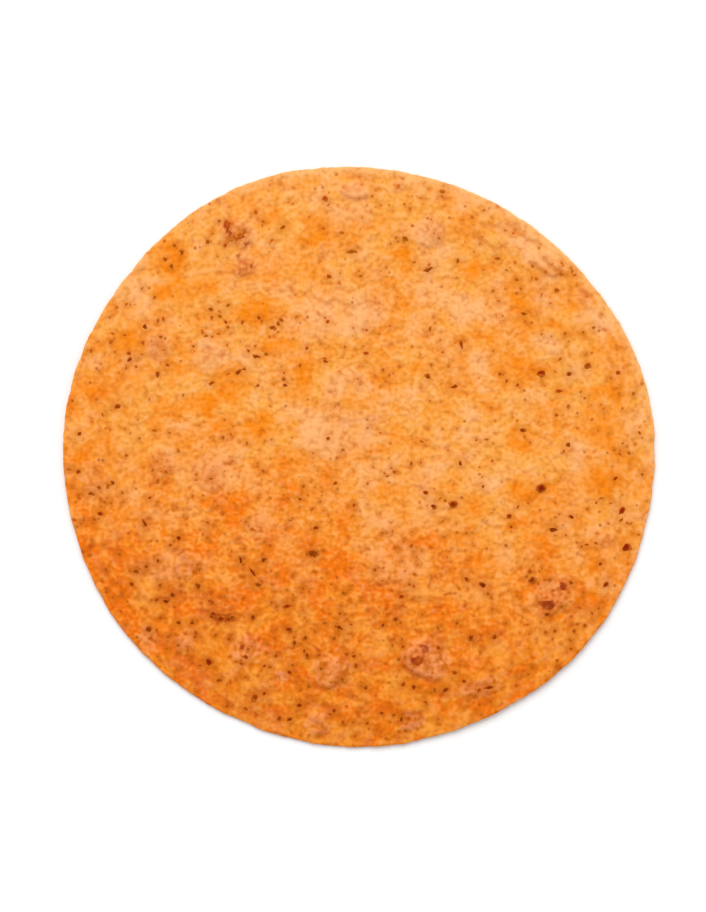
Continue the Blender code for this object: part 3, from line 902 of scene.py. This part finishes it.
class DoughPaint:
    """Paints the baked dough layer by layer; near is 1 on the near side, which is painted browner and
    darker, partly as baking and partly as shade.
    """

    # Each pair says where on the wrap, in metres, a change sets in and where it is full.
    NEAR_SIDE = (0.070, -0.035)
    NEAR_RIM = (-0.030, -0.125)
    FAR_RIM = (0.060, 0.130)
    FAR_RIGHT_RIM = (0.04, 0.12)

    def __init__(self, maker, groups, colours, object_place, place):
        self.maker, self.groups, self.colours, self.place = maker, groups, colours, place
        self.x, self.y, _ = maker.add("ShaderNodeSeparateXYZ", {"Vector": object_place}).outputs
        across = maker.scaled(self.x, 0.20, self.y)
        across = maker.scaled(maker.noise(place, size=0.04), 0.09, across)
        self.near = maker.remap(across, *self.NEAR_SIDE)
        self.pale = maker.attribute("pale")
        self.crumb = use_group(maker, groups["crumb"], Place=place)
        bulge = maker.attribute("bulge")
        wrinkles = use_group(maker, groups["wrinkles"], Place=object_place, Bulge=bulge)
        self.fine = maker.scaled(wrinkles["Height"], 0.7, self.crumb["Height"])
        self.raised = maker.scaled(self.fine, 3.8, maker.attribute("grained"))

    def lay(self, share, colour, blend="MIX"):
        """Lay a colour over what is painted so far."""
        self.colour = self.maker.mix(share, self.colour, colour, blend)

    def dots(self, spacing, share, darkest):
        """Dots in a share of the cells of a net, each with its own strength."""
        maker = self.maker
        dots = use_group(maker, self.groups["specks"], Place=self.place, Spacing=spacing, Share=share)
        return maker.times(dots["Dot"], maker.ease(dots["Tint"], 0.10, darkest))

    def tones(self):
        """Pale and golden clouds, and patches of deep orange."""
        maker = self.maker
        clouds = use_group(maker, self.groups["clouds"], Place=self.place)
        patches = maker.attribute("deep")
        tone = maker.scaled(self.pale, 0.34, clouds["Tone"])
        tone = maker.scaled(patches, -0.36, tone)
        tone = maker.scaled(maker.minus(tone, 0.5), maker.ease(self.near, 1.0, 1.75), 0.5)
        # Paler towards the far rim: partly paler dough, partly painted light.
        tone = maker.math("ADD", tone, maker.remap(self.y, *self.FAR_RIM, 0.0, 0.10))
        far = maker.minus(1.0, self.near)
        golden = maker.times(clouds["Golden"], maker.ease(far, 0.35, 1.0))
        self.colour = maker.mix(golden, self.colours.middle, self.colours.golden)
        self.lay(maker.remap(tone, 0.45, 0.98), self.colours.pale)
        self.deep = maker.math("MAXIMUM", maker.remap(tone, 0.52, 0.08), maker.times(patches, 0.72))
        self.lay(self.deep, self.colours.deep)

    def dry_rim_and_crest_highlight(self):
        """Dry dough on the far right rim, and paler crests of the wrinkles: partly dry dough, partly a
        painted highlight.
        """
        maker = self.maker
        dry = maker.remap(maker.scaled(self.x, 0.5, self.y), *self.FAR_RIGHT_RIM, 0.0, 0.8)
        self.lay(maker.times(maker.attribute("rim"), dry), self.colours.rim)
        crest_highlight_strength = maker.scaled(self.deep, -0.26, maker.ease(self.near, 0.32, 0.62))
        # Paler where the wrinkles are raised: partly dry dough, partly a painted highlight.
        self.lay(maker.times(self.raised, crest_highlight_strength), self.colours.dry_crest_and_highlight)

    def near_side(self):
        """Browner and duller dough on the near side: partly dough that baked longer, partly painted shade.
        """
        maker = self.maker
        # Darker towards the near side, and darker still towards the near rim: partly baking, partly painted
        # shade.
        self.lay(self.near, self.colours.near_browning_and_shade, "MULTIPLY")
        self.lay(maker.remap(self.y, *self.NEAR_RIM), self.colours.near_rim_browning_and_shade, "MULTIPLY")
        aside = maker.vector("ADD", self.place, (0.31, 0.47, 0.0))
        dull = maker.remap(maker.noise(aside, size=0.009, roughness=0.9), 0.48, 0.70)
        self.lay(maker.times(maker.times(dull, self.near), 0.32), self.colours.dull)

    def wrinkles(self):
        """Dry skin on the near side's blisters, paler where raised as a painted highlight; brown clouds;
        brown hollows, which are painted shade; and creases, brown and partly painted shade.
        """
        maker, near, raised = self.maker, self.near, self.raised
        crinkled = maker.times(self.pale, near)
        # Paler where raised, on blister skin and across the near side: a painted highlight over the pale
        # skin.
        blister_skin_and_highlight = maker.times(crinkled, maker.scaled(raised, 0.45, 0.76))
        self.lay(maker.scaled(maker.times(raised, near), 0.12, blister_skin_and_highlight), self.colours.blister)
        brown = maker.times(self.crumb["Cloud"], maker.ease(near, 0.14, 0.38))
        # Painted shade: browner in the hollows of the wrinkles, more so in blister skin and brown clouds.
        hollow_shade = maker.scaled(crinkled, 0.22, brown)
        hollow_shade = maker.minus(maker.ease(near, -0.23, -0.28), hollow_shade)
        hollow_shade = maker.times(raised, hollow_shade, clamp=True)
        self.lay(maker.math("ADD", hollow_shade, brown), self.colours.brown)
        # Darker along the creases by the blisters: partly a brown line, partly painted shade, stronger on
        # the near side.
        self.lay(maker.times(maker.attribute("crease_brown_and_shade"), maker.ease(near, 0.56, 0.95)), self.colours.crease_brown_and_shade)

    def toasted_spots(self):
        """Browned spots with darker cores and charred dots."""
        maker, crumb = self.maker, self.crumb["Height"]
        toasted = maker.attribute("toasted")
        self.lay(maker.times(toasted, maker.scaled(crumb, -1.8, 0.90)), self.colours.toasted)
        dots = use_group(maker, self.groups["specks"], Place=self.place, Spacing=0.0018, Share=0.9)
        dotted = maker.times(dots["Dot"], maker.attribute("charred"))
        core = maker.remap(maker.scaled(crumb, -0.3, toasted), 0.55, 0.90)
        self.lay(maker.math("MAXIMUM", dotted, maker.times(core, 0.95)), self.colours.charred)

    def herbs(self):
        """Stains round the flecks, and herbs too fine to be pieces of their own."""
        maker, near = self.maker, self.near
        self.lay(maker.times(maker.attribute("stain"), maker.ease(near, 0.44, 0.82)), self.colours.stain)
        blots = self.dots(spacing=0.0056, share=0.46, darkest=0.78)
        self.lay(maker.times(blots, maker.ease(near, 0.50, 1.0)), self.colours.stain)
        specks = self.dots(spacing=0.0032, share=maker.ease(near, 0.20, 0.40), darkest=0.86)
        self.lay(specks, self.colours.speck)


def dough_material(name, groups, colours, settings, offset):
    """Baked dough: mottled orange with pale puffs, brown creases, toasted spots and ground herbs."""
    material, maker, shader, object_place = start_material(name, specular=0.10)
    place = maker.vector("ADD", object_place, offset)
    paint = DoughPaint(maker, groups, colours, object_place, place)
    paint.tones()
    paint.dry_rim_and_crest_highlight()
    paint.near_side()
    paint.wrinkles()
    paint.toasted_spots()
    paint.herbs()
    maker.feed(shader.inputs["Base Color"], paint.colour)
    grain = use_group(maker, groups["grain"], Place=place, Size=0.0008)
    rough = maker.minus(maker.ease(grain["Shade"], 0.58, 0.76), maker.times(paint.deep, 0.08))
    maker.feed(shader.inputs["Roughness"], rough)
    height = maker.times(paint.fine, settings.fine_relief)
    join_bump(maker, shader, maker.scaled(grain["Height"], 0.04, height))
    return material


def fleck_material(name, groups, dark, light, film):
    """Dried leaf or chilli, covered at its edge by a thin film of baked dough."""
    material, maker, shader, place = start_material(name, specular=0.03)
    grain = use_group(maker, groups["grain"], Place=place, Size=0.0004)
    shade = maker.scaled(maker.minus(grain["Shade"], 0.5), 0.35, maker.attribute("shade"))
    covered = maker.times(maker.attribute("film"), 0.92)
    colour = maker.mix(covered, maker.mix(shade, dark, light), film)
    maker.feed(shader.inputs["Base Color"], colour)
    maker.feed(shader.inputs["Roughness"], maker.ease(grain["Shade"], 0.5, 0.75))
    join_bump(maker, shader, maker.times(grain["Height"], 0.08))
    return material


# ---- flecks


class Fleck:
    """One bit of herb or chilli: its place, size, turn and shade."""

    def __init__(self, x, y, length, width, turn, shade, on_top):
        self.x, self.y = x, y
        self.length, self.width = length, width
        self.turn = turn
        self.shade = shade
        self.on_top = on_top


def large_flecks(rng):
    """The large flecks, at their own places on the top."""
    flecks = []
    for x, y, length, width, turn in LARGE_FLECKS:
        shade = max(0.0, 0.45 - 0.20 * length) + rng.uniform(0.0, 0.2) + 0.003 * max(y, 0.0)
        growth = 1.95 - 0.14 * length  # part of each fleck lies under the dough
        length, width = growth * length * MM, growth * width * MM
        flecks.append(Fleck(x * MM, y * MM, length, width, math.radians(turn), shade, True))
    for x, y, length in MEDIUM_FLECKS:
        shade, turn = rng.uniform(0.0, 0.5), rng.uniform(0.0, math.pi)
        length = 1.90 * length * MM
        flecks.append(Fleck(x * MM, y * MM, length, 0.8 * length, turn, shade, True))
    return flecks


def scattered_flecks(rng, shape, settings, count, on_top):
    """Small flecks at random places, a little closer together towards the sides and the near edge."""
    flecks = []
    while len(flecks) < count:
        angle = rng.uniform(0.0, math.tau)
        share = math.sqrt(rng.random())
        radius = share * (float(shape.radius(angle)) - RIM_MARGIN)
        x, y = radius * math.cos(angle), radius * math.sin(angle)
        crowd = noise.noise((x / CROWD_SIZE, y / CROWD_SIZE, 5.0))
        if rng.random() > 0.40 + 0.60 * crowd + 0.35 * share**3 - 2.0 * y:
            continue
        size = rng.random() ** 1.6
        length = settings.smallest + (settings.largest - settings.smallest) * size
        width = length * rng.uniform(0.45, 0.95)
        shade = 0.95 - 0.55 * size + rng.uniform(-0.25, 0.05) + 3.0 * max(y, 0.0)
        flecks.append(Fleck(x, y, length, width, rng.uniform(0.0, math.pi), shade, on_top))
    return flecks


def all_flecks(shape, settings):
    """Every fleck of the wrap, the same each time."""
    rng = random.Random(PLACE_SEED)
    flecks = large_flecks(rng)
    flecks += scattered_flecks(rng, shape, settings, settings.top_count, True)
    flecks += scattered_flecks(rng, shape, settings, settings.underside_count, False)
    return flecks


def sort_flecks(flecks):
    """Share the flecks out between leaf and chilli."""
    rng = random.Random(KIND_SEED)
    kinds = {"herb_flecks": [], "chilli_flecks": []}
    for fleck in flecks:
        kinds["herb_flecks" if rng.random() < LEAF_SHARE else "chilli_flecks"].append(fleck)
    return kinds


def add_fleck(bm, fleck, tree, thickness, layers, rng, rough):
    """Set one fleck into the surface of the dough."""
    up = 1.0 if fleck.on_top else -1.0
    hit, normal, _, _ = tree.ray_cast(Vector((fleck.x, fleck.y, up)), Vector((0, 0, -up)))
    if hit is None:
        raise RuntimeError(f"a fleck at {fleck.x:.4f}, {fleck.y:.4f} misses the dough")
    depth = thickness * (0.7 + 0.3 * fleck.length / TYPICAL_LENGTH)
    lie = Vector((0, 0, up)).rotation_difference(normal).to_matrix().to_4x4()
    scale = Matrix.Diagonal((fleck.length / 2, fleck.width / 2, depth / 2, 1.0))
    sunk = hit - normal * (depth * SUNK_SHARE)
    placed = Matrix.Translation(sunk) @ lie @ Matrix.Rotation(fleck.turn, 4, "Z") @ scale
    fineness = 2 if fleck.length > SMALL_LENGTH else 1
    made = bmesh.ops.create_icosphere(bm, subdivisions=fineness, radius=1.0, matrix=placed)
    unplaced = placed.inverted()
    shade_layer, film_layer = layers
    # Dough hides the edge of every fleck, and veils the whole of small ones on the far side.
    cover = min(max(0.45 + 2.5 * fleck.y - 200.0 * fleck.length, 0.0), 0.6)
    bare = min(0.32 + 60.0 * max(fleck.length - TYPICAL_LENGTH, 0.0), 0.50)
    for vert in made["verts"]:
        share = (unplaced @ vert.co).xy.length
        edge = float(smooth_step((share - bare) / 0.6))
        vert[film_layer] = cover + (1.0 - cover) * edge
        vert[shade_layer] = fleck.shade
        vert.co = sunk + (vert.co - sunk) * (1.0 + rng.uniform(-rough, rough))
        vert.co.z = max(vert.co.z, 0.0)  # nothing reaches into the table


def make_fleck_mesh(name, flecks, tree, settings, rough):
    """Join all the flecks of one kind into one mesh."""
    rng = random.Random(len(flecks))
    bm = bmesh.new()
    for layer in ("shade", "film"):
        bm.verts.layers.float.new(layer)
    layers = (bm.verts.layers.float["shade"], bm.verts.layers.float["film"])
    for fleck in flecks:
        add_fleck(bm, fleck, tree, settings.thickness, layers, rng, rough)
    bmesh.ops.recalc_face_normals(bm, faces=bm.faces[:])
    for face in bm.faces:
        face.smooth = True
    return to_mesh(bm, name)


# ---- stage


def add_camera(settings):
    """Look straight down, with the wrap where the photograph has it."""
    data = bpy.data.cameras.new("camera")
    data.lens = settings.lens
    data.dof.use_dof = False
    data.clip_start = 0.01
    camera = add_object("camera", data)
    seen_height = PHOTO_HEIGHT / PIXELS_PER_METRE
    distance = settings.lens / data.sensor_width * seen_height
    camera.location = (*from_photo((PHOTO_WIDTH / 2, PHOTO_HEIGHT / 2)), distance)
    bpy.context.scene.camera = camera


def add_area_light(name, place, side, power):
    """A square soft light aimed at the wrap."""
    data = bpy.data.lights.new(name, "AREA")
    data.shape = "SQUARE"
    data.size = side
    data.energy = power
    light = add_object(name, data)
    light.location = place
    light.rotation_euler = (-Vector(place)).to_track_quat("-Z", "Y").to_euler()


def add_room(strength):
    """Even white light from all sides."""
    world = bpy.data.worlds.new("white_room")
    world.use_nodes = True
    background = world.node_tree.nodes["Background"]
    background.inputs["Color"].default_value = (1.0, 1.0, 1.0, 1.0)
    background.inputs["Strength"].default_value = strength
    bpy.context.scene.world = world


def add_floor(settings):
    """A plain pale floor under the wrap."""
    bm = bmesh.new()
    bmesh.ops.create_grid(bm, x_segments=1, y_segments=1, size=settings.floor_width / 2)
    mesh = to_mesh(bm, "floor")
    material, maker, shader, place = start_material("pale_floor", specular=0.0)
    veil = maker.noise(place, size=0.5)
    lighter = [channel * 1.01 for channel in settings.floor_colour]
    maker.feed(shader.inputs["Base Color"], maker.mix(veil, settings.floor_colour[:], lighter))
    shader.inputs["Roughness"].default_value = 0.9
    mesh.materials.append(material)
    floor = add_object("floor", mesh)


# ---- operators


class WRAP_OT_make_dough(bpy.types.Operator):
    """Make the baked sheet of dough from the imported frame"""

    bl_idname = "wrap.make_dough"
    bl_label = "Make Dough"

    def execute(self, context):
        scene = context.scene
        shape = FrameShape(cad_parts[NODE])
        flecks = all_flecks(shape, scene.wrap_flecks)
        mesh = DoughSheet(shape, scene.wrap_dough).build()
        lay_out_texture(mesh, float(shape.radii.max()) + 3 * scene.wrap_dough.rim_rounding)
        finish_relief(mesh, shape, scene.wrap_dough, flecks)
        groups = shared_groups()
        for name, offset in (("baked_top", (0.0, 0.0, 0.0)), ("baked_underside", UNDERSIDE_OFFSET)):
            look = dough_material(name, groups, scene.wrap_colours, scene.wrap_dough, offset)
            mesh.materials.append(look)
        dough = add_object("dough", mesh)
        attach(dough, BODY)
        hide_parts(NODE)
        return {"FINISHED"}


class WRAP_OT_make_flecks(bpy.types.Operator):
    """Set the flecks of herb and chilli into the dough"""

    bl_idname = "wrap.make_flecks"
    bl_label = "Make Flecks"

    def execute(self, context):
        scene = context.scene
        settings = scene.wrap_flecks
        dough = scene.objects.get("dough")
        if dough is None:
            raise RuntimeError("make the dough before its flecks")
        tree = BVHTree.FromObject(dough, context.evaluated_depsgraph_get())
        shape = FrameShape(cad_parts[NODE])
        kinds = sort_flecks(all_flecks(shape, settings))
        looks = {
            "herb_flecks": (settings.herb_dark, settings.herb_light, 0.22),
            "chilli_flecks": (settings.chilli_dark, settings.chilli_light, 0.16),
        }
        groups = shared_groups()
        for name, (dark, light, rough) in looks.items():
            mesh = make_fleck_mesh(name, kinds[name], tree, settings, rough)
            mesh.materials.append(fleck_material(name, groups, dark, light, settings.film))
            piece = add_object(name, mesh)
            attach(piece, BODY)
        return {"FINISHED"}


class WRAP_OT_make_stage(bpy.types.Operator):
    """Add the pale floor, the soft light and the camera"""

    bl_idname = "wrap.make_stage"
    bl_label = "Make Stage"

    def execute(self, context):
        settings = context.scene.wrap_stage
        add_floor(settings)
        add_room(settings.fill)
        add_area_light("key_light", KEY_PLACE, KEY_SIDE, settings.key_power)
        add_camera(settings)
        context.scene.view_settings.view_transform = "Standard"
        return {"FINISHED"}


class WRAP_PT_panel(bpy.types.Panel):
    """Sidebar panel with the steps and their settings"""

    bl_label = "Tortilla Wrap"
    bl_space_type = "VIEW_3D"
    bl_region_type = "UI"
    bl_category = "Wrap"

    def draw(self, context):
        scene = context.scene
        for operator in OPERATORS:
            self.layout.operator(operator.bl_idname)
        for name in SETTINGS:
            box = self.layout.box()
            group = getattr(scene, name)
            for item in group.bl_rna.properties:
                if not item.is_readonly:
                    box.prop(group, item.identifier)


OPERATORS = (WRAP_OT_make_dough, WRAP_OT_make_flecks, WRAP_OT_make_stage)
SETTINGS = {
    "wrap_dough": DoughShapeSettings,
    "wrap_colours": DoughColourSettings,
    "wrap_flecks": FleckSettings,
    "wrap_stage": StageSettings,
}
CLASSES = (*SETTINGS.values(), *OPERATORS, WRAP_PT_panel)


def register():
    for cls in CLASSES:
        bpy.utils.register_class(cls)
    for name, group in SETTINGS.items():
        setattr(bpy.types.Scene, name, PointerProperty(type=group))


def unregister():
    for name in SETTINGS:
        delattr(bpy.types.Scene, name)
    for cls in reversed(CLASSES):
        bpy.utils.unregister_class(cls)


def main():
    register()
    bpy.ops.wrap.make_dough()
    bpy.ops.wrap.make_flecks()
    bpy.ops.wrap.make_stage()


if __name__ == "__main__":
    main()
